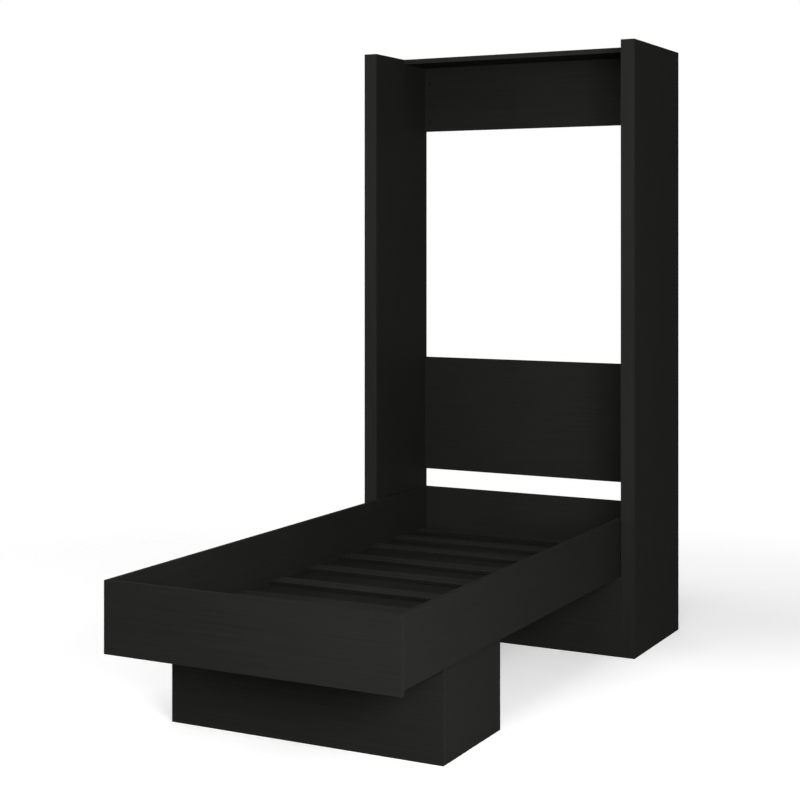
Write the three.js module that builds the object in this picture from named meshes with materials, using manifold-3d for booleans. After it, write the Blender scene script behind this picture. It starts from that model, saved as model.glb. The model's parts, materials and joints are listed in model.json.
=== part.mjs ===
// Single murphy wall bed, shown with its bed lowered.
//
// An open cabinet of two thick uprights, a top, a header, a middle panel and a base panel stands
// against the wall. A tray-shaped bed box turns on two pivots in the uprights and rests on a box
// pedestal under its foot half. Inside each hollow upright a gas strut pushes on a crank that is
// fixed to the pivot shaft.
//
// Units are millimetres. X runs from left to right, Y from the foot of the bed to the wall and
// Z up. The origin is on the floor, at the centre of the footprint of the lowered bed.

import * as THREE from 'three';
import { mergeVertices } from 'three/addons/utils/BufferGeometryUtils.js';
import Module from 'manifold-3d';

const wasm = await Module();
wasm.setup();

// ---- Driving dimensions ----------------------------------------------------------------------

// Cabinet
const CABINET_HEIGHT = 2160;
const CABINET_DEPTH = 490; // outer side panels, from the front plane to the wall
const BACK_PLANE = 423; // rear of the inner panels and back boards, from the front plane
const OPENING_WIDTH = 970; // between the uprights
const INNER_PANEL = 15;
const UPRIGHT_CAVITY = 20;
const OUTER_PANEL = 16;
const STILE_THICKNESS = 18;
const REAR_SPACER = 18;
const FOOT_SPACER_HEIGHT = 60;

const TOP_THICKNESS = 18;
const TOP_SETBACK = 229; // top panel's front edge, from the front plane
const BACK_BOARD = 16; // header and middle panel
const HEADER_HEIGHT = 252;
const MIDDLE_BOTTOM = 549;
const MIDDLE_TOP = 993;
const BASE_HEIGHT = 281; // just under the rails
const BASE_THICKNESS = 18;

// Bed box
const BED_LENGTH = 2050;
const BED_WIDTH = 964;
const BED_OVERHANG = 1653; // foot end, in front of the front plane
const RAIL_THICKNESS = 16;
const RAIL_TOP = 482;
const RAIL_BOTTOM = 283;
const FOOTBOARD_THICKNESS = 18;
const FOOTBOARD_BOTTOM = 269; // the footboard hangs below the rails as a lip
const HEADBOARD_THICKNESS = 16;
const FLOOR_BOTTOM = 291;
const FLOOR_THICKNESS = 18;

const SLAT_WIDTH = 80;
const SLAT_THICKNESS = 13;
const SLAT_END_GAP = 0.5;
const SLAT_CENTRES = [121, 346, 570, 769, 965.5]; // from the middle of the tray, towards either end

// Pedestal
const PEDESTAL_WIDTH = 915;
const PEDESTAL_DEPTH = 385;
const PEDESTAL_SETBACK = 300; // front face, behind the footboard's front
const PEDESTAL_BOARD = 16;
const PEDESTAL_BASE_RECESS = 8;
const CLEAT = 20; // square section

// Pivot and lift mechanism
const PIVOT_DEPTH = 119; // behind the front plane
const PIVOT_HEIGHT = 381;
const SHAFT_RADIUS = 10;
const SHAFT_PROUD = 1.5; // shaft end, past the crank
const FLANGE_RADIUS = 40;
const FLANGE_THICKNESS = 3;
const FLANGE_CLEARANCE = 0.3;
const BUSH_BORE_RADIUS = 10.4;
const BUSH_RADIUS = 15;
const BUSH_COLLAR_RADIUS = 20;
const BUSH_COLLAR = 2;
const BUSH_CLEARANCE = 0.3;
const CRANK_LENGTH = 190;
const CRANK_ANGLE = Math.PI / 4; // at rest, above the level line to the wall
const CRANK_THICKNESS = 5;
const CRANK_HUB_RADIUS = 24;
const CRANK_TIP_RADIUS = 13;
const CRANK_PIN_HOLE = 4.5;
const STRUT_DROP = 400; // anchor to crank tip at rest, measured along Z
const BARREL_RADIUS = 9;
const BARREL_BORE = 7;
const BARREL_TOP = 13; // closed end, below the anchor
const BARREL_LENGTH = 342;
const BARREL_END_WALL = 12;
const NECK_OVERLAP = 0.5; // into the barrel at one end and the eye at the other
const ROD_RADIUS = 4;
const ROD_CLEARANCE = 0.4;
const PISTON_RADIUS = 6.5;
const PISTON_LENGTH = 12;
const PISTON_GAP = 6; // to the closed end at rest
const EYE_RADIUS = 10;
const EYE_THICKNESS = 8;
const STUD_RADIUS = 4;
const STUD_PLATE_RADIUS = 11;
const STUD_PLATE = 2;
const STUD_END_GAP = 2;
const SIDE_GAP = 0.5; // crank to inner panel, and the strut's offset from the cavity's middle

// Fixings
const CAM_BORE_RADIUS = 6;
const CAM_BORE_DEPTH = 12;
const CAM_INSET = 24; // from the end of the header to the bore's centre
const CAM_HEIGHTS = [33, 188]; // above the header's lower edge
const CAP_RADIUS = 5.7;
const CAP_THICKNESS = 3;
const CAP_RECESS = 1.2; // below the header's face
const BLOCK_SIZE = 30;
const BLOCK_LENGTH = 70;
const BRACKET_X = 300;
const BRACKET_WIDTH = 40;
const BRACKET_LEG = 60;
const BRACKET_TAB = 36;
const BRACKET_STEEL = 3;
const BRACKET_BELOW_TOP = 60;
const BRACKET_HOLE_INSET = 15; // from the end of the leg or tab
const SCREW_HOLE_RADIUS = 3.5;
const DRILL_LENGTH = 16; // more than the thickness of what it cuts

const ROUND_SEGMENTS = 48;
const SMALL_SEGMENTS = 24;

// ---- Positions worked out from them ----------------------------------------------------------

const FOOTPRINT = BED_OVERHANG + CABINET_DEPTH;
const WALL_Y = FOOTPRINT / 2;
const FRONT_Y = WALL_Y - CABINET_DEPTH;
const BACK_Y = FRONT_Y + BACK_PLANE;
const FOOT_Y = -FOOTPRINT / 2;
const HEAD_Y = FOOT_Y + BED_LENGTH;

const OPENING_X = OPENING_WIDTH / 2;
const CAVITY_X = OPENING_X + INNER_PANEL;
const OUTER_X = CAVITY_X + UPRIGHT_CAVITY;
const CABINET_X = OUTER_X + OUTER_PANEL;
const STRUT_X = CAVITY_X + UPRIGHT_CAVITY / 2 + SIDE_GAP;

const BED_X = BED_WIDTH / 2;
const RAIL_X = BED_X - RAIL_THICKNESS;
const FLOOR_TOP = FLOOR_BOTTOM + FLOOR_THICKNESS;
const TRAY_FOOT_Y = FOOT_Y + FOOTBOARD_THICKNESS;
const TRAY_HEAD_Y = HEAD_Y - HEADBOARD_THICKNESS;

const PIVOT_Y = FRONT_Y + PIVOT_DEPTH;
const HEADER_TOP = CABINET_HEIGHT - TOP_THICKNESS;
const HEADER_BOTTOM = HEADER_TOP - HEADER_HEIGHT;

const CRANK_TIP_Y = PIVOT_Y + CRANK_LENGTH * Math.cos(CRANK_ANGLE);
const CRANK_TIP_Z = PIVOT_HEIGHT + CRANK_LENGTH * Math.sin(CRANK_ANGLE);
const CRANK_REACH_Y = PIVOT_Y + CRANK_LENGTH; // furthest that the tip swings towards the wall
const ANCHOR_Y = (CRANK_TIP_Y + CRANK_REACH_Y) / 2;
const ANCHOR_Z = CRANK_TIP_Z + STRUT_DROP;
const STRUT_REST_LENGTH = Math.hypot(ANCHOR_Y - CRANK_TIP_Y, STRUT_DROP);
const STRUT_TILT = Math.atan2(ANCHOR_Y - CRANK_TIP_Y, STRUT_DROP);

// ---- Materials -------------------------------------------------------------------------------

const finish = (color, roughness, metalness = 0) => () =>
  new THREE.MeshStandardMaterial({ color, roughness, metalness });

const blackLaminate = finish(0x1f1f1e, 0.62);
const blackSlatWood = finish(0x222220, 0.75);
const rawBoard = finish(0x8d7655, 0.85);
const blackPlastic = finish(0x141414, 0.5);
const zincSteel = finish(0xb4b7ba, 0.35, 0.9);
const bronzeBush = finish(0x9a7440, 0.4, 0.8);
const strutBlack = finish(0x17181a, 0.4, 0.5);

// ---- Shape helpers ---------------------------------------------------------------------------

const named = (name, geometry, material) => {
  const mesh = new THREE.Mesh(geometry, material());
  mesh.name = name;
  return mesh;
};

// A board that fills the space between two corners.
const board = (name, [x0, y0, z0], [x1, y1, z1], material) => {
  const mesh = named(name, new THREE.BoxGeometry(x1 - x0, y1 - y0, z1 - z0), material);
  mesh.position.set((x0 + x1) / 2, (y0 + y1) / 2, (z0 + z1) / 2);
  return mesh;
};

// Lowest and highest X of a layer that lies between two distances from the middle of the bed.
const spanX = (side, near, far) => (side > 0 ? [near, far] : [-far, -near]);

const sideBoard = (name, side, [near, y0, z0], [far, y1, z1], material) => {
  const [x0, x1] = spanX(side, near, far);
  return board(name, [x0, y0, z0], [x1, y1, z1], material);
};

// Turns a shape drawn in Y and Z, extruded along its third axis, so that it runs along X.
const ALONG_X = new THREE.Matrix4().makeBasis(
  new THREE.Vector3(0, 1, 0),
  new THREE.Vector3(0, 0, 1),
  new THREE.Vector3(1, 0, 0),
);

const extrudeAlongX = (shape, length, curveSegments = ROUND_SEGMENTS) =>
  new THREE.ExtrudeGeometry(shape, { depth: length, bevelEnabled: false, curveSegments })
    .applyMatrix4(ALONG_X);

// A solid of revolution about Z. The profile lists radius and height, and starts on the axis.
const turned = (profile, segments = ROUND_SEGMENTS) =>
  new THREE.LatheGeometry(profile.map(([r, z]) => new THREE.Vector2(r, z)), segments)
    .rotateX(Math.PI / 2);

const roundBar = (radius, length, segments = SMALL_SEGMENTS) =>
  new THREE.CylinderGeometry(radius, radius, length, segments);

const roundHole = (y, z, radius) => new THREE.Path().absarc(y, z, radius, 0, 2 * Math.PI, true);

const toSolid = (geometry) => {
  const bare = geometry.index ? geometry.toNonIndexed() : geometry.clone();
  bare.deleteAttribute('normal');
  bare.deleteAttribute('uv');
  const merged = mergeVertices(bare, 1e-4);
  return new wasm.Manifold(new wasm.Mesh({
    numProp: 3,
    vertProperties: new Float32Array(merged.attributes.position.array),
    triVerts: new Uint32Array(merged.index.array),
  }));
};

const fromSolid = (solid) => {
  const { vertProperties, triVerts } = solid.getMesh();
  const geometry = new THREE.BufferGeometry();
  geometry.setAttribute('position', new THREE.BufferAttribute(vertProperties, 3));
  geometry.setIndex(new THREE.BufferAttribute(triVerts, 1));
  geometry.computeVertexNormals();
  return geometry;
};

const joined = (...geometries) =>
  fromSolid(geometries.map(toSolid).reduce((all, next) => all.add(next)));

const cut = (geometry, ...tools) =>
  fromSolid(tools.map(toSolid).reduce((left, tool) => left.subtract(tool), toSolid(geometry)));

// ---- Cabinet ---------------------------------------------------------------------------------

const innerPanel = (name, side) => {
  const shape = new THREE.Shape([
    new THREE.Vector2(FRONT_Y + STILE_THICKNESS, 0),
    new THREE.Vector2(BACK_Y, 0),
    new THREE.Vector2(BACK_Y, CABINET_HEIGHT),
    new THREE.Vector2(FRONT_Y + STILE_THICKNESS, CABINET_HEIGHT),
  ]);
  shape.holes.push(roundHole(PIVOT_Y, PIVOT_HEIGHT, BUSH_RADIUS + BUSH_CLEARANCE));
  const mesh = named(name, extrudeAlongX(shape, INNER_PANEL), blackLaminate);
  mesh.position.x = spanX(side, OPENING_X, CAVITY_X)[0];
  return mesh;
};

const upright = (side, label) => {
  const group = new THREE.Group();
  const behindStile = FRONT_Y + STILE_THICKNESS;
  const rearSpacerY = BACK_Y - REAR_SPACER;
  group.add(
    sideBoard(`side_outer_panel_${label}`, side, [OUTER_X, behindStile, 0],
      [CABINET_X, WALL_Y, CABINET_HEIGHT], blackLaminate),
    innerPanel(`side_inner_panel_${label}`, side),
    sideBoard(`side_front_stile_${label}`, side, [OPENING_X, FRONT_Y, 0],
      [CABINET_X, behindStile, CABINET_HEIGHT], blackLaminate),
    sideBoard(`side_rear_spacer_${label}`, side, [CAVITY_X, rearSpacerY, 0],
      [OUTER_X, BACK_Y, CABINET_HEIGHT], blackLaminate),
    sideBoard(`side_top_spacer_${label}`, side, [CAVITY_X, behindStile, HEADER_TOP],
      [OUTER_X, rearSpacerY, CABINET_HEIGHT], blackLaminate),
    sideBoard(`side_foot_spacer_${label}`, side, [CAVITY_X, behindStile, 0],
      [OUTER_X, rearSpacerY, FOOT_SPACER_HEIGHT], rawBoard),
  );
  return group;
};

const crossBoards = () => {
  const group = new THREE.Group();
  const boardFront = BACK_Y - BACK_BOARD;
  group.add(
    board('top_panel', [-OPENING_X, FRONT_Y + TOP_SETBACK, HEADER_TOP],
      [OPENING_X, BACK_Y, CABINET_HEIGHT], blackLaminate),
    board('middle_back_panel', [-OPENING_X, boardFront, MIDDLE_BOTTOM],
      [OPENING_X, BACK_Y, MIDDLE_TOP], blackLaminate),
    board('base_front_panel', [-OPENING_X, FRONT_Y, 0],
      [OPENING_X, FRONT_Y + BASE_THICKNESS, BASE_HEIGHT], blackLaminate),
  );
  return group;
};

// Header board with a blind bore for a cam fitting near each corner of its front face.
const headerPanel = () => {
  const boardFront = BACK_Y - BACK_BOARD;
  const panel = new THREE.BoxGeometry(OPENING_WIDTH, BACK_BOARD, HEADER_HEIGHT)
    .translate(0, BACK_Y - BACK_BOARD / 2, (HEADER_TOP + HEADER_BOTTOM) / 2);
  const bores = [-1, 1].flatMap((side) => CAM_HEIGHTS.map((height) => (
    roundBar(CAM_BORE_RADIUS, 2 * CAM_BORE_DEPTH)
      .translate(side * (OPENING_X - CAM_INSET), boardFront, HEADER_BOTTOM + height))));
  return named('header_panel', cut(panel, ...bores), blackLaminate);
};

// Cover cap that sits a little below the face in its cam bore.
const headerCap = (side, label, height, level) => {
  const cap = named(`header_cap_${level}_${label}`, roundBar(CAP_RADIUS, CAP_THICKNESS),
    blackPlastic);
  const faceY = BACK_Y - BACK_BOARD;
  cap.position.set(side * (OPENING_X - CAM_INSET), faceY + CAP_RECESS + CAP_THICKNESS / 2,
    HEADER_BOTTOM + height);
  return cap;
};

const baseBlock = (side, label) => {
  const y = FRONT_Y + BASE_THICKNESS;
  return sideBoard(`base_corner_block_${label}`, side, [OPENING_X - BLOCK_SIZE, y, 0],
    [OPENING_X, y + BLOCK_SIZE, BLOCK_LENGTH], rawBoard);
};

// Steel stand-off bracket between the header's rear face and the wall.
const wallBracket = (side, label) => {
  const top = CABINET_HEIGHT - BRACKET_BELOW_TOP;
  const outline = [
    [BACK_Y, top - BRACKET_LEG], [BACK_Y + BRACKET_STEEL, top - BRACKET_LEG],
    [BACK_Y + BRACKET_STEEL, top - BRACKET_STEEL], [WALL_Y - BRACKET_STEEL, top - BRACKET_STEEL],
    [WALL_Y - BRACKET_STEEL, top - BRACKET_TAB], [WALL_Y, top - BRACKET_TAB],
    [WALL_Y, top], [BACK_Y, top],
  ];
  const shape = new THREE.Shape(outline.map(([y, z]) => new THREE.Vector2(y, z)));
  const x0 = side * BRACKET_X - BRACKET_WIDTH / 2;
  const strap = extrudeAlongX(shape, BRACKET_WIDTH).translate(x0, 0, 0);
  const drillAt = (y, z) => roundBar(SCREW_HOLE_RADIUS, DRILL_LENGTH)
    .translate(side * BRACKET_X, y, z);
  const holed = cut(strap, drillAt(WALL_Y, top - BRACKET_TAB + BRACKET_HOLE_INSET),
    drillAt(BACK_Y, top - BRACKET_LEG + BRACKET_HOLE_INSET));
  return named(`wall_bracket_${label}`, holed, zincSteel);
};

// ---- Pivot and lift mechanism ----------------------------------------------------------------

// Flanged bush in the inner panel, its collar on the bed side.
const pivotBush = (side, label) => {
  const collar = INNER_PANEL + BUSH_COLLAR;
  const bush = turned([
    [BUSH_BORE_RADIUS, 0], [BUSH_RADIUS, 0], [BUSH_RADIUS, INNER_PANEL],
    [BUSH_COLLAR_RADIUS, INNER_PANEL], [BUSH_COLLAR_RADIUS, collar], [BUSH_BORE_RADIUS, collar],
    [BUSH_BORE_RADIUS, 0],
  ]).rotateY(-Math.PI / 2);
  const mesh = named(`pivot_bush_${label}`, bush, bronzeBush);
  mesh.position.set(side * CAVITY_X, PIVOT_Y, PIVOT_HEIGHT);
  mesh.rotation.z = side > 0 ? 0 : Math.PI;
  return mesh;
};

// Flange let into the rail's outer face, with the shaft that runs through the bush.
const pivotShaft = (side, label) => {
  const shaftEnd = CAVITY_X + SIDE_GAP + CRANK_THICKNESS + SHAFT_PROUD;
  const length = shaftEnd - BED_X + FLANGE_THICKNESS;
  const shaft = turned([
    [0, 0], [FLANGE_RADIUS, 0], [FLANGE_RADIUS, FLANGE_THICKNESS],
    [SHAFT_RADIUS, FLANGE_THICKNESS], [SHAFT_RADIUS, length], [0, length],
  ]).rotateY(Math.PI / 2);
  const mesh = named(`pivot_shaft_${label}`, shaft, zincSteel);
  mesh.position.set(side * (BED_X - FLANGE_THICKNESS), PIVOT_Y, PIVOT_HEIGHT);
  mesh.rotation.z = side > 0 ? 0 : Math.PI;
  return mesh;
};

// Flat crank: a hub and a tip joined by straight flanks, drawn along +Y from the pivot.
const crank = (side, label) => {
  const flank = Math.acos((CRANK_HUB_RADIUS - CRANK_TIP_RADIUS) / CRANK_LENGTH);
  const shape = new THREE.Shape();
  shape.absarc(0, 0, CRANK_HUB_RADIUS, flank, 2 * Math.PI - flank, false);
  shape.absarc(CRANK_LENGTH, 0, CRANK_TIP_RADIUS, -flank, flank, false);
  shape.holes.push(roundHole(0, 0, SHAFT_RADIUS + FLANGE_CLEARANCE));
  shape.holes.push(roundHole(CRANK_LENGTH, 0, CRANK_PIN_HOLE));
  const mesh = named(`lift_crank_${label}`, extrudeAlongX(shape, CRANK_THICKNESS, SMALL_SEGMENTS),
    zincSteel);
  const near = CAVITY_X + SIDE_GAP;
  mesh.position.set(spanX(side, near, near + CRANK_THICKNESS)[0], PIVOT_Y, PIVOT_HEIGHT);
  mesh.rotation.x = CRANK_ANGLE;
  return mesh;
};

const alongX = (geometry) => geometry.rotateZ(Math.PI / 2);

const strutEye = (z) => alongX(roundBar(EYE_RADIUS, EYE_THICKNESS)).translate(0, 0, z);

// Closed tube that hangs from its eye. The rod passes through a guide in its lower end.
const strutCylinder = (label) => {
  const bottom = -(BARREL_TOP + BARREL_LENGTH);
  const guide = ROD_RADIUS + ROD_CLEARANCE;
  const barrel = turned([
    [0, bottom + BARREL_LENGTH - BARREL_END_WALL],
    [BARREL_BORE, bottom + BARREL_LENGTH - BARREL_END_WALL],
    [BARREL_BORE, bottom + BARREL_END_WALL], [guide, bottom + BARREL_END_WALL], [guide, bottom],
    [BARREL_RADIUS, bottom], [BARREL_RADIUS, -BARREL_TOP], [0, -BARREL_TOP],
  ], SMALL_SEGMENTS);
  const neck = roundBar(ROD_RADIUS, BARREL_TOP + 2 * NECK_OVERLAP).rotateX(Math.PI / 2)
    .translate(0, 0, -BARREL_TOP / 2);
  const bore = alongX(roundBar(STUD_RADIUS + ROD_CLEARANCE, DRILL_LENGTH));
  const body = cut(joined(barrel, neck, strutEye(0)), bore);
  return named(`strut_cylinder_${label}`, body, strutBlack);
};

const strutRod = (label) => {
  const pistonTop = -(BARREL_TOP + BARREL_END_WALL + PISTON_GAP);
  const rodEnd = -STRUT_REST_LENGTH;
  const rod = turned([
    [0, rodEnd], [ROD_RADIUS, rodEnd], [ROD_RADIUS, pistonTop - PISTON_LENGTH],
    [PISTON_RADIUS, pistonTop - PISTON_LENGTH], [PISTON_RADIUS, pistonTop], [0, pistonTop],
  ], SMALL_SEGMENTS);
  return named(`strut_rod_${label}`, joined(rod, strutEye(rodEnd)), zincSteel);
};

// The strut as it lies at rest, leaning from its anchor to the crank's tip.
const strut = (side, label) => {
  const group = new THREE.Group();
  group.add(strutCylinder(label), strutRod(label));
  group.position.set(side * STRUT_X, ANCHOR_Y, ANCHOR_Z);
  group.rotation.x = -STRUT_TILT;
  return group;
};

// Plate on the outer panel with the stud that carries the strut's upper eye.
const strutAnchor = (side, label) => {
  const reach = UPRIGHT_CAVITY - STUD_END_GAP;
  const stud = turned([
    [0, 0], [STUD_PLATE_RADIUS, 0], [STUD_PLATE_RADIUS, STUD_PLATE],
    [STUD_RADIUS, STUD_PLATE], [STUD_RADIUS, reach], [0, reach],
  ], SMALL_SEGMENTS).rotateY(-Math.PI / 2);
  const mesh = named(`strut_anchor_${label}`, stud, zincSteel);
  mesh.position.set(side * OUTER_X, ANCHOR_Y, ANCHOR_Z);
  mesh.rotation.z = side > 0 ? 0 : Math.PI;
  return mesh;
};

// ---- Bed box ---------------------------------------------------------------------------------

const sideRail = (side, label) => {
  const [x0, x1] = spanX(side, RAIL_X, BED_X);
  const size = [x1 - x0, HEAD_Y - TRAY_FOOT_Y, RAIL_TOP - RAIL_BOTTOM];
  const rail = new THREE.BoxGeometry(...size)
    .translate((x0 + x1) / 2, (HEAD_Y + TRAY_FOOT_Y) / 2, (RAIL_TOP + RAIL_BOTTOM) / 2);
  const pocket = alongX(
    roundBar(FLANGE_RADIUS + FLANGE_CLEARANCE, 2 * (FLANGE_THICKNESS + FLANGE_CLEARANCE),
      ROUND_SEGMENTS),
  ).translate(side * BED_X, PIVOT_Y, PIVOT_HEIGHT);
  return named(`side_rail_${label}`, cut(rail, pocket), blackLaminate);
};

const tray = () => {
  const group = new THREE.Group();
  group.add(
    board('footboard', [-BED_X, FOOT_Y, FOOTBOARD_BOTTOM], [BED_X, TRAY_FOOT_Y, RAIL_TOP],
      blackLaminate),
    board('headboard', [-RAIL_X, TRAY_HEAD_Y, RAIL_BOTTOM], [RAIL_X, HEAD_Y, RAIL_TOP],
      blackLaminate),
    board('floor_panel', [-RAIL_X, TRAY_FOOT_Y, FLOOR_BOTTOM], [RAIL_X, TRAY_HEAD_Y, FLOOR_TOP],
      blackLaminate),
  );
  return group;
};

// Slats on the floor panel, closer together at both ends and numbered from the head.
const slats = () => {
  const group = new THREE.Group();
  const endX = RAIL_X - SLAT_END_GAP;
  const middleY = (TRAY_HEAD_Y + TRAY_FOOT_Y) / 2;
  const footwards = SLAT_CENTRES.map((centre) => middleY - centre);
  const headwards = SLAT_CENTRES.map((centre) => middleY + centre);
  [...headwards.reverse(), ...footwards].forEach((y, index) => {
    const name = `slat_${String(index + 1).padStart(2, '0')}`;
    group.add(board(name, [-endX, y - SLAT_WIDTH / 2, FLOOR_TOP],
      [endX, y + SLAT_WIDTH / 2, FLOOR_TOP + SLAT_THICKNESS], blackSlatWood));
  });
  return group;
};

const pedestal = () => {
  const group = new THREE.Group();
  const front = FOOT_Y + PEDESTAL_SETBACK;
  const back = front + PEDESTAL_DEPTH;
  const outer = PEDESTAL_WIDTH / 2;
  const inner = outer - PEDESTAL_BOARD;
  const insideFront = front + PEDESTAL_BOARD;
  const insideBack = back - PEDESTAL_BOARD;
  const baseTop = PEDESTAL_BASE_RECESS + PEDESTAL_BOARD;
  const cleatBottom = FLOOR_BOTTOM - CLEAT;
  group.add(
    board('pedestal_front', [-outer, front, 0], [outer, insideFront, FLOOR_BOTTOM],
      blackLaminate),
    board('pedestal_back', [-outer, insideBack, 0], [outer, back, FLOOR_BOTTOM], blackLaminate),
    board('pedestal_side_left', [-outer, insideFront, 0], [-inner, insideBack, FLOOR_BOTTOM],
      blackLaminate),
    board('pedestal_side_right', [inner, insideFront, 0], [outer, insideBack, FLOOR_BOTTOM],
      blackLaminate),
    board('pedestal_base', [-inner, insideFront, PEDESTAL_BASE_RECESS],
      [inner, insideBack, baseTop], blackLaminate),
    board('pedestal_cleat_front', [-inner, insideFront, cleatBottom],
      [inner, insideFront + CLEAT, FLOOR_BOTTOM], rawBoard),
    board('pedestal_cleat_back', [-inner, insideBack - CLEAT, cleatBottom],
      [inner, insideBack, FLOOR_BOTTOM], rawBoard),
  );
  return group;
};

// ---- Assembly --------------------------------------------------------------------------------

const SIDES = [[-1, 'left'], [1, 'right']];

const cabinet = new THREE.Group();
const bedBox = new THREE.Group();
const struts = new THREE.Group();

cabinet.add(crossBoards(), headerPanel());
bedBox.add(tray(), slats(), pedestal());
for (const [side, label] of SIDES) {
  cabinet.add(
    upright(side, label),
    baseBlock(side, label),
    wallBracket(side, label),
    pivotBush(side, label),
    strutAnchor(side, label),
    headerCap(side, label, CAM_HEIGHTS[0], 'lower'),
    headerCap(side, label, CAM_HEIGHTS[1], 'upper'),
  );
  bedBox.add(sideRail(side, label), pivotShaft(side, label), crank(side, label));
  struts.add(strut(side, label));
}

const wallBed = new THREE.Group();
wallBed.add(cabinet, bedBox, struts);

export default wallBed;
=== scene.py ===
"""Looks of a single murphy wall bed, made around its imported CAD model. Metres, +Z up."""

import json
import math

import bmesh
import bpy
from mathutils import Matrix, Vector


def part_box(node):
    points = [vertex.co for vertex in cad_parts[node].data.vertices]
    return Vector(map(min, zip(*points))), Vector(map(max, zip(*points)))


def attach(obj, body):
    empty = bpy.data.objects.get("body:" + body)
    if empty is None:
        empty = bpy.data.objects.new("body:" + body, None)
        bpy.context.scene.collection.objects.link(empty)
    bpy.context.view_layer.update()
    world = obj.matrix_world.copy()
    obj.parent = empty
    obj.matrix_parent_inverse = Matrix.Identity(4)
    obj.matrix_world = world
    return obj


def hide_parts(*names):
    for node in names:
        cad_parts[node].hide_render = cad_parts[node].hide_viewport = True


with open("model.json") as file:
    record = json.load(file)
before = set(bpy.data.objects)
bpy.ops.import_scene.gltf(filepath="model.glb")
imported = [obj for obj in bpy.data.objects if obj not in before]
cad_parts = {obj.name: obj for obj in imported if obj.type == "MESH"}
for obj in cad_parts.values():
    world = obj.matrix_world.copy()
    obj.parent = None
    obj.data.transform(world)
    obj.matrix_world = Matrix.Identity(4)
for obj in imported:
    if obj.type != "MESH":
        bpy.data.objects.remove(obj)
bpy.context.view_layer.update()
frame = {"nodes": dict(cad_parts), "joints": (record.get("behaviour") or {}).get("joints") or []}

# ---- Camera, light and floor -----------------------------------------------------------------

CAMERA_PLACE = (2.4522, -4.855, 1.4593)
CAMERA_YAW = 27.556  # degrees to the left of +Y; the camera looks level
FOCAL_LENGTH = 73.8  # millimetres, as the sensor's width is
SENSOR_WIDTH = 36.0
HORIZON_SHIFT = -0.2002  # share of the picture's width
VIEW_LIMIT = 200.0

FLOOR_SIZE = 60.0
FLOOR_GLOW = 0.4  # added for the camera only
FLOOR_BOUNCE = 0.3  # how pale the floor is to the object
FLOOR_FADE = (1.6, 3.2)  # it melts into the backdrop between these distances from its middle
BACKDROP_COLOUR = (1.0, 1.0, 1.0)
AMBIENT = 0.12  # what the backdrop gives the object, of what the camera sees

# name, place, aim, width, height, watts
SOFTBOXES = [
    ("key_front", (1.2, -6.5, 2.6), (0.0, 0.0, 0.9), 3.0, 3.0, 62.0),
    ("foot_right", (2.4, -3.0, 1.4), (0.3, -1.0, 0.3), 1.2, 1.2, 110.0),
    ("fill_right", (3.2, -2.6, 1.6), (0.3, -0.8, 0.4), 2.0, 1.6, 54.0),
    ("top", (0.0, -1.4, 5.5), (0.0, -0.3, 0.0), 4.0, 4.0, 94.0),
    ("left", (-4.5, -2.0, 2.5), (0.0, 0.0, 0.8), 2.5, 2.5, 98.0),
    ("back_low", (-1.6, 3.6, 0.25), (0.0, 1.07, 1.0), 2.0, 0.4, 40.0),
]


def softbox(name, place, aim, width, height, watts):
    """A rectangular light that the camera doesn't see, pointing at aim."""
    data = bpy.data.lights.new(name, "AREA")
    data.shape = "RECTANGLE"
    data.size = width
    data.size_y = height
    data.energy = watts
    light = bpy.data.objects.new(name, data)
    bpy.context.scene.collection.objects.link(light)
    light.visible_camera = False
    light.location = place
    light.rotation_mode = "QUATERNION"
    light.rotation_quaternion = (Vector(aim) - Vector(place)).to_track_quat("-Z", "Y")


def make_camera():
    data = bpy.data.cameras.new("camera")
    data.sensor_width = SENSOR_WIDTH
    data.lens = FOCAL_LENGTH
    data.shift_y = HORIZON_SHIFT
    data.clip_end = VIEW_LIMIT
    camera = bpy.data.objects.new("camera", data)
    camera.location = CAMERA_PLACE
    camera.rotation_euler = (math.radians(90), 0, math.radians(CAMERA_YAW))
    bpy.context.scene.collection.objects.link(camera)
    bpy.context.scene.camera = camera


def make_backdrop():
    """White all round as the camera sees it, and dimmer as a light on the object."""
    world = bpy.data.worlds.new("backdrop")
    world.use_nodes = True
    bpy.context.scene.world = world
    nodes, links = world.node_tree.nodes, world.node_tree.links
    background = nodes["Background"]
    background.inputs["Color"].default_value = opaque(BACKDROP_COLOUR)
    rays = nodes.new("ShaderNodeLightPath")
    strength = nodes.new("ShaderNodeMapRange")
    strength.inputs["To Min"].default_value = AMBIENT
    strength.inputs["To Max"].default_value = 1.0
    links.new(rays.outputs["Is Camera Ray"], strength.inputs["Value"])
    links.new(strength.outputs["Result"], background.inputs["Strength"])


def make_floor():
    half = FLOOR_SIZE / 2
    mesh = bpy.data.meshes.new("studio_floor")
    mesh.from_pydata([(-half, -half, 0), (half, -half, 0), (half, half, 0), (-half, half, 0)],
                     [], [(0, 1, 2, 3)])
    floor = bpy.data.objects.new("studio_floor", mesh)
    bpy.context.scene.collection.objects.link(floor)
    mesh.materials.append(studio_floor())


# ---- Material nodes --------------------------------------------------------------------------

AXES = "XYZ"
FACE_LIMIT = 0.7  # a face looks along an axis when its normal's share of it is above this
NOISE_LOW, NOISE_HIGH = 0.3, 0.7  # most of a noise's values lie between these

# places of a Mix node's colour sockets, which have the same names as its other sockets
MIX_FACTOR, MIX_A, MIX_B = 0, 6, 7
MIX_RESULT = 2


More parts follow.
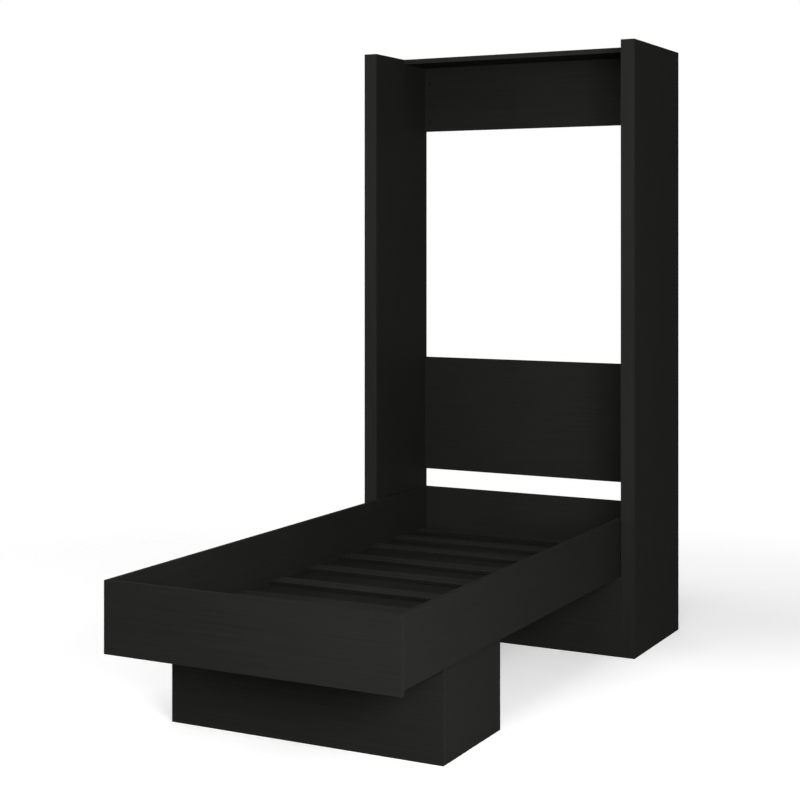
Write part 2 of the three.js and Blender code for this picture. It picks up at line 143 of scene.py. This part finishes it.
class Finish:
    """A procedural material, with short calls for the nodes that build it."""

    def __init__(self, name, **sockets):
        """sockets are fixed settings of the surface, with _ for each space in their names."""
        self.material = bpy.data.materials.new(name)
        self.material.use_nodes = True
        self.tree = self.material.node_tree
        self.surface = self.tree.nodes["Principled BSDF"]
        for socket, value in sockets.items():
            self.surface.inputs[socket.replace("_", " ")].default_value = value
        self.coords = self.tree.nodes.new("ShaderNodeTexCoord")

    def node(self, kind, inputs=None, **settings):
        made = self.tree.nodes.new("ShaderNode" + kind)
        for key, value in settings.items():
            setattr(made, key, value)
        for key, value in (inputs or {}).items():
            if isinstance(value, bpy.types.NodeSocket):
                self.tree.links.new(value, made.inputs[key])
            else:
                made.inputs[key].default_value = value
        return made

    def stretched(self, per_metre):
        """The piece's own coordinates, with per_metre repeats along X, Y and Z."""
        return self.node("Mapping", {"Vector": self.coords.outputs["Object"],
                                     "Scale": per_metre}).outputs["Vector"]

    def noise(self, per_metre, detail=3.0, roughness=0.5):
        return self.node("TexNoise", {"Vector": self.stretched(per_metre), "Scale": 1.0,
                                      "Detail": detail, "Roughness": roughness}).outputs["Fac"]

    def cells(self, per_metre):
        """A tone from 0 to 1 that differs from cell to cell, and the distance to the cell's point."""
        made = self.node("TexVoronoi", {"Vector": self.stretched(per_metre), "Scale": 1.0})
        split = self.node("SeparateXYZ", {"Vector": made.outputs["Color"]})
        return split.outputs["X"], made.outputs["Distance"]

    def ramp(self, factor, *stops):
        """A colour for each (position, colour) stop, as factor goes from 0 to 1."""
        made = self.node("ValToRGB", {"Fac": factor})
        elements = made.color_ramp.elements
        while len(elements) < len(stops):
            elements.new(0.5)
        for element, (position, colour) in zip(elements, stops):
            element.position = position
            element.color = opaque(colour)
        return made.outputs["Color"]

    def span(self, value, low, high, out_low, out_high):
        return self.node("MapRange", {"Value": value, "From Min": low, "From Max": high,
                                      "To Min": out_low, "To Max": out_high}).outputs["Result"]

    def blend(self, factor, a, b, blend_type="MIX"):
        made = self.node("Mix", {MIX_FACTOR: factor, MIX_A: a, MIX_B: b},
                         data_type="RGBA", blend_type=blend_type)
        return made.outputs[MIX_RESULT]

    def multiplied(self, a, b):
        return self.blend(1.0, a, b, "MULTIPLY")

    def math(self, operation, a, b=0.0):
        return self.node("Math", {0: a, 1: b}, operation=operation).outputs[0]

    def on_axis(self, axis):
        """1 on the faces that look along the piece's own axis, and 0 on the others."""
        split = self.node("SeparateXYZ", {"Vector": self.coords.outputs["Normal"]})
        along = self.math("ABSOLUTE", split.outputs[AXES[axis]])
        return self.math("GREATER_THAN", along, FACE_LIMIT)

    def set(self, socket, value):
        self.tree.links.new(value, self.surface.inputs[socket])

    def roughness(self, noise, at_low, at_high):
        self.set("Roughness", self.span(noise, NOISE_LOW, NOISE_HIGH, at_low, at_high))

    def bump(self, height, distance, strength):
        made = self.node("Bump", {"Height": height, "Distance": distance, "Strength": strength})
        self.set("Normal", made.outputs["Normal"])


def grey(level):
    return (level,) * 3


def tinted(colour, amount):
    return tuple(amount * part for part in colour)


def opaque(colour):
    return (*colour, 1)


def evenly(repeats):
    """The same number of repeats per metre along every axis."""
    return (repeats,) * 3


def with_grain(grain, along, across):
    """Repeats per metre, along on the grain's axis and across on the other two."""
    return tuple(along if axis == grain else across for axis in range(3))


# ---- Materials -------------------------------------------------------------------------------

BOARD_SPECULAR = 0.08
LAMINATE = (0.0136, 0.0138, 0.0129)
BANDING_TINT = 1.08


def laminate(grain, thin):
    """Matt black melamine: a faint pressed wood grain, and plain banding on the board's edges."""
    finish = Finish(f"black_laminate_{AXES[grain]}{AXES[thin]}", Specular_IOR_Level=BOARD_SPECULAR)
    fibres = finish.noise(with_grain(grain, 3.0, 190.0), detail=4.0, roughness=0.6)
    pores = finish.noise(with_grain(grain, 25.0, 900.0), detail=2.0)
    haze = finish.noise(evenly(2.3))
    pressed = finish.ramp(fibres, (0.3, tinted(LAMINATE, 0.88)), (0.7, tinted(LAMINATE, 1.12)))
    clouds = finish.ramp(haze, (0.3, grey(0.94)), (0.7, grey(1.06)))
    banding = opaque(tinted(LAMINATE, BANDING_TINT))
    face = finish.on_axis(thin)
    finish.set("Base Color", finish.blend(face, banding, finish.multiplied(pressed, clouds)))
    relief = finish.math("MULTIPLY", finish.math("ADD", fibres, pores), face)
    finish.bump(relief, distance=0.00025, strength=0.5)
    finish.roughness(haze, 0.52, 0.64)
    return finish.material


SLAT_TOP = (0.021, 0.0207, 0.0195)
# painted shade: share of the wood's colour kept on the slats' sides, standing in for the shade under
# their edges
SLAT_SIDE_PAINTED_SHADE = 0.4


def slat_wood(grain, thin):
    """Black-stained softwood: the grain shows through on top, and the sides are darkened with painted
    shade.
    """
    finish = Finish(f"slat_wood_{AXES[grain]}{AXES[thin]}", Specular_IOR_Level=BOARD_SPECULAR)
    growth = finish.noise(with_grain(grain, 1.6, 70.0), detail=5.0, roughness=0.65)
    fibres = finish.noise(with_grain(grain, 12.0, 700.0))
    stain = finish.ramp(growth, (0.32, tinted(SLAT_TOP, 0.72)), (0.5, SLAT_TOP),
                        (0.68, tinted(SLAT_TOP, 1.3)))
    streaks = finish.ramp(fibres, (0.35, grey(0.85)), (0.65, grey(1.15)))
    wood_tone = finish.multiplied(stain, streaks)
    # painted shade: the slats' sides are darkened to stand in for the shade under their edges
    painted_shade_sides = finish.multiplied(wood_tone, opaque(grey(SLAT_SIDE_PAINTED_SHADE)))
    finish.set("Base Color", finish.blend(finish.on_axis(thin), painted_shade_sides, wood_tone))
    finish.bump(finish.math("ADD", growth, fibres), distance=0.0006, strength=0.6)
    finish.roughness(growth, 0.8, 0.62)
    return finish.material


FLAKE_DARK = (0.13, 0.075, 0.035)
FLAKE_MIDDLE = (0.3, 0.2, 0.11)
FLAKE_PALE = (0.45, 0.33, 0.2)


def raw_board(grain, thin):
    """Bare chipboard: pressed flakes of pale and darker wood."""
    finish = Finish(f"raw_board_{AXES[grain]}{AXES[thin]}", Specular_IOR_Level=0.25)
    tone, distance = finish.cells(with_grain(grain, 160.0, 380.0))
    dust = finish.noise(evenly(900.0), detail=2.0)
    flakes = finish.ramp(tone, (0.0, FLAKE_DARK), (0.45, FLAKE_MIDDLE), (1.0, FLAKE_PALE))
    speckle = finish.ramp(dust, (0.35, grey(0.75)), (0.65, grey(1.1)))
    finish.set("Base Color", finish.multiplied(flakes, speckle))
    finish.bump(finish.math("ADD", distance, dust), distance=0.0004, strength=0.5)
    finish.roughness(dust, 0.78, 0.92)
    return finish.material


ZINC_DARK = (0.42, 0.44, 0.47)
ZINC_PALE = (0.6, 0.61, 0.62)


def zinc_steel():
    """Bright zinc plating with a faint spangle."""
    finish = Finish("zinc_steel", Metallic=1.0)
    spangle, _ = finish.cells(evenly(420.0))
    smear = finish.noise(evenly(60.0), detail=4.0)
    finish.set("Base Color", finish.ramp(spangle, (0.0, ZINC_DARK), (1.0, ZINC_PALE)))
    finish.bump(smear, distance=0.0001, strength=0.4)
    finish.roughness(smear, 0.28, 0.46)
    return finish.material


BRONZE_PORE = (0.12, 0.07, 0.03)
BRONZE_FACE = (0.42, 0.26, 0.11)


def bush_bronze():
    """Sintered bronze, slightly oily and speckled with open pores."""
    finish = Finish("bush_bronze", Metallic=1.0)
    pores = finish.noise(evenly(1500.0), detail=2.0)
    oil = finish.noise(evenly(120.0))
    finish.set("Base Color", finish.ramp(pores, (0.3, BRONZE_PORE), (0.6, BRONZE_FACE)))
    finish.bump(pores, distance=0.0001, strength=0.4)
    finish.roughness(oil, 0.3, 0.5)
    return finish.material


def cap_plastic():
    """Moulded plastic with a fine spark-eroded grain."""
    finish = Finish("cap_plastic", Specular_IOR_Level=0.2)
    grain = finish.noise(evenly(2600.0), detail=2.0)
    finish.set("Base Color", finish.ramp(grain, (0.3, grey(0.006)), (0.7, grey(0.01))))
    finish.bump(grain, distance=0.00008, strength=0.5)
    finish.roughness(grain, 0.4, 0.55)
    return finish.material


PAINT_DARK = (0.008, 0.008, 0.009)
PAINT_PALE = (0.012, 0.012, 0.013)


def strut_black():
    """Satin black paint with a slight orange peel."""
    finish = Finish("strut_black", Specular_IOR_Level=0.4)
    peel = finish.noise(evenly(500.0), detail=2.0)
    finish.set("Base Color", finish.ramp(peel, (0.3, PAINT_DARK), (0.7, PAINT_PALE)))
    finish.bump(peel, distance=0.0001, strength=0.4)
    finish.roughness(peel, 0.3, 0.4)
    return finish.material


def studio_floor():
    """Pale and matt to the camera, dimmer as a light on the object, and gone before the horizon."""
    finish = Finish("studio_floor", Specular_IOR_Level=0.0, Roughness=0.9)
    seen = finish.node("LightPath").outputs["Is Camera Ray"]
    pale = finish.ramp(finish.noise(evenly(3.0)), (0.3, grey(0.9)), (0.7, grey(0.92)))
    finish.set("Base Color", finish.blend(seen, opaque(grey(FLOOR_BOUNCE)), pale))
    finish.surface.inputs["Emission Color"].default_value = opaque(BACKDROP_COLOUR)
    finish.set("Emission Strength", finish.math("MULTIPLY", seen, FLOOR_GLOW))
    away = finish.node("VectorMath", {0: finish.coords.outputs["Object"]}, operation="LENGTH")
    finish.set("Alpha", finish.span(away.outputs["Value"], *FLOOR_FADE, 1.0, 0.0))
    return finish.material


BOARD_MATERIALS = {"black_laminate": laminate, "slat_wood": slat_wood, "raw_board": raw_board}
PLAIN_MATERIALS = {
    "zinc_steel": zinc_steel,
    "bush_bronze": bush_bronze,
    "cap_plastic": cap_plastic,
    "strut_black": strut_black,
}
made_materials = {}


def board_axes(node):
    """The axes of a board's length and of its thickness."""
    low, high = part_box(node)
    size = list(high - low)
    return size.index(max(size)), size.index(min(size))


def material_for(slot, node=None):
    """The slot's material. On a board, the grain runs along the node's length."""
    if slot in BOARD_MATERIALS:
        make = BOARD_MATERIALS[slot]
        axes = board_axes(node)
    else:
        make = PLAIN_MATERIALS[slot]
        axes = ()
    key = (slot, *axes)
    if key not in made_materials:
        made_materials[key] = make(*axes)
    return made_materials[key]


ARRIS = {"black_laminate": 0.0005, "slat_wood": 0.0008, "raw_board": 0.0004, "zinc_steel": 0.0003}
ARRIS_SEGMENTS = 3
SHARP_ANGLE = math.radians(40)
WELD_DISTANCE = 0.00001


def soften(piece, radius):
    """Gives a piece's sharp edges a small round."""
    bevel = piece.modifiers.new("arris", "BEVEL")
    bevel.width = radius
    bevel.segments = ARRIS_SEGMENTS
    bevel.limit_method = "ANGLE"
    bevel.angle_limit = SHARP_ANGLE
    bevel.harden_normals = True


def finish_nodes():
    """Gives each CAD node its material, and those with an arris their rounded edges."""
    for name, node in frame["nodes"].items():
        slot = node.material_slots[0].material.name
        node.material_slots[0].link = "OBJECT"
        node.material_slots[0].material = material_for(slot, name)
        if slot in ARRIS:
            weld = node.modifiers.new("weld", "WELD")
            weld.merge_threshold = WELD_DISTANCE
            soften(node, ARRIS[slot])


# ---- Turned pieces ---------------------------------------------------------------------------

TURN_STEPS = 72
TURN_ARRIS = 0.00025


def ring_radius(radius, sides, angle):
    """The distance out at angle, on a circle or on a polygon with that many sides."""
    if not sides:
        return radius
    sector = 2 * math.pi / sides
    return radius * math.cos(sector / 2) / math.cos(angle % sector - sector / 2)


def turned_part(profile, closed):
    """Corners and faces of (along, radius[, sides]) points turned about X."""
    corners, rings, faces = [], [], []
    for along, radius, *sides in profile:
        steps = TURN_STEPS if radius else 1
        rings.append([len(corners) + step for step in range(steps)])
        for step in range(steps):
            angle = 2 * math.pi * step / TURN_STEPS
            out = ring_radius(radius, sides[0] if sides else 0, angle)
            corners.append(Vector((along, out * math.cos(angle), out * math.sin(angle))))
    following = rings[1:] + rings[:1] if closed else rings[1:]
    for low, high in zip(rings, following):
        for step in range(TURN_STEPS):
            ahead = (step + 1) % TURN_STEPS
            face = [low[step % len(low)], low[ahead % len(low)],
                    high[ahead % len(high)], high[step % len(high)]]
            faces.append(list(dict.fromkeys(face)))
    return corners, faces


def facing_out(mesh):
    """Turns every face of a closed mesh outwards."""
    work = bmesh.new()
    work.from_mesh(mesh)
    bmesh.ops.recalc_face_normals(work, faces=work.faces)
    work.to_mesh(mesh)
    work.free()


def turned(name, slot, body, parts, stands_for=()):
    """One piece of parts, each (profile, closed, place, direction), on a CAD body."""
    corners, faces = [], []
    for profile, closed, place, direction in parts:
        turn = Vector((1, 0, 0)).rotation_difference(Vector(direction))
        own_corners, own_faces = turned_part(profile, closed)
        faces += [[len(corners) + index for index in face] for face in own_faces]
        corners += [Vector(place) + turn @ corner for corner in own_corners]
    origin = Vector(parts[0][2])
    mesh = bpy.data.meshes.new(name)
    mesh.from_pydata([corner - origin for corner in corners], [], faces)
    facing_out(mesh)
    mesh.shade_smooth()
    mesh.set_sharp_from_angle(angle=SHARP_ANGLE)
    mesh.materials.append(material_for(slot))
    piece = bpy.data.objects.new(name, mesh)
    piece.location = origin
    bpy.context.scene.collection.objects.link(piece)
    soften(piece, TURN_ARRIS)
    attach(piece, body)
    if stands_for:
        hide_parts(*stands_for)


def scaled(outline, depth, radius):
    """A profile from an outline of (share of the depth, share of the radius) points."""
    return [(along * depth, out * radius) for along, out in outline]


def middle(node):
    low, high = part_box(node)
    return (Vector(low) + Vector(high)) / 2


def length_on_x(node):
    low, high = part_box(node)
    return high[0] - low[0]


def end_on_x(node, side):
    """The middle of a node's end, towards -X or +X as side is -1 or 1."""
    place = middle(node)
    place.x += side * length_on_x(node) / 2
    return place


# ---- Header caps -----------------------------------------------------------------------------

CAP_OUTLINE = [(0, 0), (0, 1), (0.7, 1), (0.88, 0.88), (0.96, 0.6), (1, 0.25), (1, 0)]


def header_caps():
    """Shallow domed cover caps in the header's cam bores."""
    for node in [name for name in frame["nodes"] if name.startswith("header_cap_")]:
        low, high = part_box(node)
        profile = scaled(CAP_OUTLINE, high[1] - low[1], (high[0] - low[0]) / 2)
        place = middle(node)
        place.y = high[1]
        turned(node.replace("header_cap", "cover_cap"), "cap_plastic", "cabinet",
               [(profile, False, place, (0, -1, 0))], [node])


# ---- Pivots and gas struts: radii, and lengths along the axis --------------------------------

SIDES = {"left": -1, "right": 1}

BUSH_BORE = 0.0104
BUSH_BODY = 0.015
BUSH_COLLAR = 0.02
BUSH_COLLAR_DEPTH = 0.002

SHAFT = 0.01
FLANGE = 0.04
FLANGE_DEPTH = 0.003
CENTRE_DRILL = 0.003  # as wide as it is deep


def pivot_bush(label, side):
    """Bush in the upright, with its collar towards the bed."""
    node = f"pivot_bush_{label}"
    length = length_on_x(node)
    collar = length - BUSH_COLLAR_DEPTH
    profile = [(0, BUSH_BORE), (0, BUSH_BODY), (collar, BUSH_BODY), (collar, BUSH_COLLAR),
               (length, BUSH_COLLAR), (length, BUSH_BORE)]
    turned(f"bronze_bush_{label}", "bush_bronze", "cabinet",
           [(profile, True, end_on_x(node, side), (-side, 0, 0))], [node])


def pivot_shaft(label, side):
    """Shaft that turns in the bush, with its flange on the rail."""
    node = f"pivot_shaft_{label}"
    length = length_on_x(node)
    profile = [(0, 0), (0, FLANGE), (FLANGE_DEPTH, FLANGE), (FLANGE_DEPTH, SHAFT),
               (length, SHAFT), (length, CENTRE_DRILL), (length - CENTRE_DRILL, 0)]
    turned(f"flanged_shaft_{label}", "zinc_steel", "bed_box",
           [(profile, False, end_on_x(node, -side), (side, 0, 0))], [node])


EYE = 0.01
EYE_HOLE = 0.0044
EYE_DEPTH = 0.008
EYE_JOIN = 0.9 * EYE  # where a rod or a neck starts, from the eye's middle

BARREL = 0.009
BARREL_BORE = 0.007
BARREL_WALL = 0.012  # thickness of each end
BARREL_START = 0.013
BARREL_END = 0.355
BARREL_NOSE = 0.8 * BARREL  # each end narrows to this over its chamfer
BARREL_CHAMFER = 0.002
NECK_OVERLAP = 0.001
CRIMP = 0.0083
CRIMP_PLACE = 0.338
CRIMP_HALF = 0.0025

ROD = 0.004
ROD_GUIDE = 0.0044
PISTON = 0.0065
PISTON_START = 0.031
PISTON_END = 0.043

STUD = 0.004
STUD_PLATE = 0.011
STUD_PLATE_DEPTH = 0.002
STUD_DOME = 0.001


def strut_line(label):
    """Where a strut is anchored, and the way that its rod runs out."""
    joints = {joint["name"]: joint for joint in frame["joints"]}
    anchor = Vector(joints[f"strut_swing_{label}"]["pos_m"])
    return anchor, Vector(joints[f"strut_stroke_{label}"]["axis"])


def eye(centre):
    """The part of a piece that its pin goes through, a ring about X."""
    profile = [(0, EYE_HOLE), (0, EYE), (EYE_DEPTH, EYE), (EYE_DEPTH, EYE_HOLE)]
    return profile, True, centre - Vector((EYE_DEPTH / 2, 0, 0)), (1, 0, 0)


def barrel_profile():
    """From the middle of the closed end, along the outside, and back along the bore."""
    inner_start = BARREL_START + BARREL_WALL
    inner_end = BARREL_END - BARREL_WALL
    return [(BARREL_START, 0), (BARREL_START, BARREL_NOSE), (BARREL_START + BARREL_CHAMFER, BARREL),
            (CRIMP_PLACE - CRIMP_HALF, BARREL), (CRIMP_PLACE, CRIMP),
            (CRIMP_PLACE + CRIMP_HALF, BARREL), (BARREL_END - BARREL_CHAMFER, BARREL),
            (BARREL_END, BARREL_NOSE), (BARREL_END, ROD_GUIDE), (inner_end, ROD_GUIDE),
            (inner_end, BARREL_BORE), (inner_start, BARREL_BORE), (inner_start, 0)]


def gas_cylinder(label):
    """Painted cylinder with a rolled crimp, and the neck and eye that it hangs by."""
    anchor, along = strut_line(label)
    neck_end = BARREL_START + NECK_OVERLAP
    neck = [(EYE_JOIN, 0), (EYE_JOIN, ROD), (neck_end, ROD), (neck_end, 0)]
    turned(f"gas_cylinder_{label}", "strut_black", f"strut_cylinder_{label}",
           [(barrel_profile(), False, anchor, along), (neck, False, anchor, along), eye(anchor)],
           [f"strut_cylinder_{label}"])


def gas_rod(label):
    """Plated rod with a piston at its upper end and an eye at its lower end."""
    anchor, along = strut_line(label)
    low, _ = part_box(f"strut_rod_{label}")
    reach = (low[2] + EYE - anchor.z) / along.z
    rod_end = reach - EYE_JOIN
    profile = [(PISTON_START, 0), (PISTON_START, PISTON), (PISTON_END, PISTON), (PISTON_END, ROD),
               (rod_end, ROD), (rod_end, 0)]
    turned(f"gas_rod_{label}", "zinc_steel", f"strut_rod_{label}",
           [(profile, False, anchor, along), eye(anchor + reach * along)], [f"strut_rod_{label}"])


def anchor_stud(label, side):
    """Stud that the cylinder's eye hangs on, with its plate on the outer side."""
    node = f"strut_anchor_{label}"
    length = length_on_x(node)
    profile = [(0, 0), (0, STUD_PLATE), (STUD_PLATE_DEPTH, STUD_PLATE), (STUD_PLATE_DEPTH, STUD),
               (length - STUD_DOME, STUD), (length, 0.5 * STUD), (length, 0)]
    turned(f"anchor_stud_{label}", "zinc_steel", "cabinet",
           [(profile, False, end_on_x(node, side), (-side, 0, 0))], [node])


# ---- Screws ----------------------------------------------------------------------------------

SCREW_HEAD = 0.006
SCREW_HEIGHT = 0.003
SCREW_SEAT = 0.0002  # the head sits this far into what it holds
SOCKET = 0.0023
SOCKET_DEPTH = 0.0016
SOCKET_SIDES = 6
PAN_OUTLINE = [(0, 0), (0, 1), (0.4, 1), (0.85, 0.82), (1, 0.6)]

BRACKET_HOLE = 0.015  # from the end of the bracket's leg
BRACKET_STEEL = 0.003


def screw_head(name, place):
    """Pan head with a hexagonal socket, facing the wall."""
    floor = SCREW_HEIGHT - SOCKET_DEPTH
    socket = [(SCREW_HEIGHT, SOCKET, SOCKET_SIDES), (floor, SOCKET, SOCKET_SIDES), (floor, 0)]
    profile = scaled(PAN_OUTLINE, SCREW_HEIGHT, SCREW_HEAD) + socket
    turned(name, "zinc_steel", "cabinet", [(profile, False, place, (0, 1, 0))])


def fixings(label):
    """The screw in a wall bracket's leg, and the one in a corner block."""
    bracket, block = f"wall_bracket_{label}", f"base_corner_block_{label}"
    low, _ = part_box(bracket)
    face = low[1] + BRACKET_STEEL - SCREW_SEAT
    screw_head(f"bracket_screw_{label}", Vector((middle(bracket).x, face, low[2] + BRACKET_HOLE)))
    _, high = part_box(block)
    place = middle(block)
    place.y = high[1] - SCREW_SEAT
    screw_head(f"block_screw_{label}", place)


# ---- Scene -----------------------------------------------------------------------------------

make_camera()
make_backdrop()
make_floor()
for row in SOFTBOXES:
    softbox(*row)
finish_nodes()
header_caps()
for side_label, side_sign in SIDES.items():
    pivot_bush(side_label, side_sign)
    pivot_shaft(side_label, side_sign)
    gas_cylinder(side_label)
    gas_rod(side_label)
    anchor_stud(side_label, side_sign)
    fixings(side_label)
bpy.context.scene.view_settings.view_transform = "Standard"
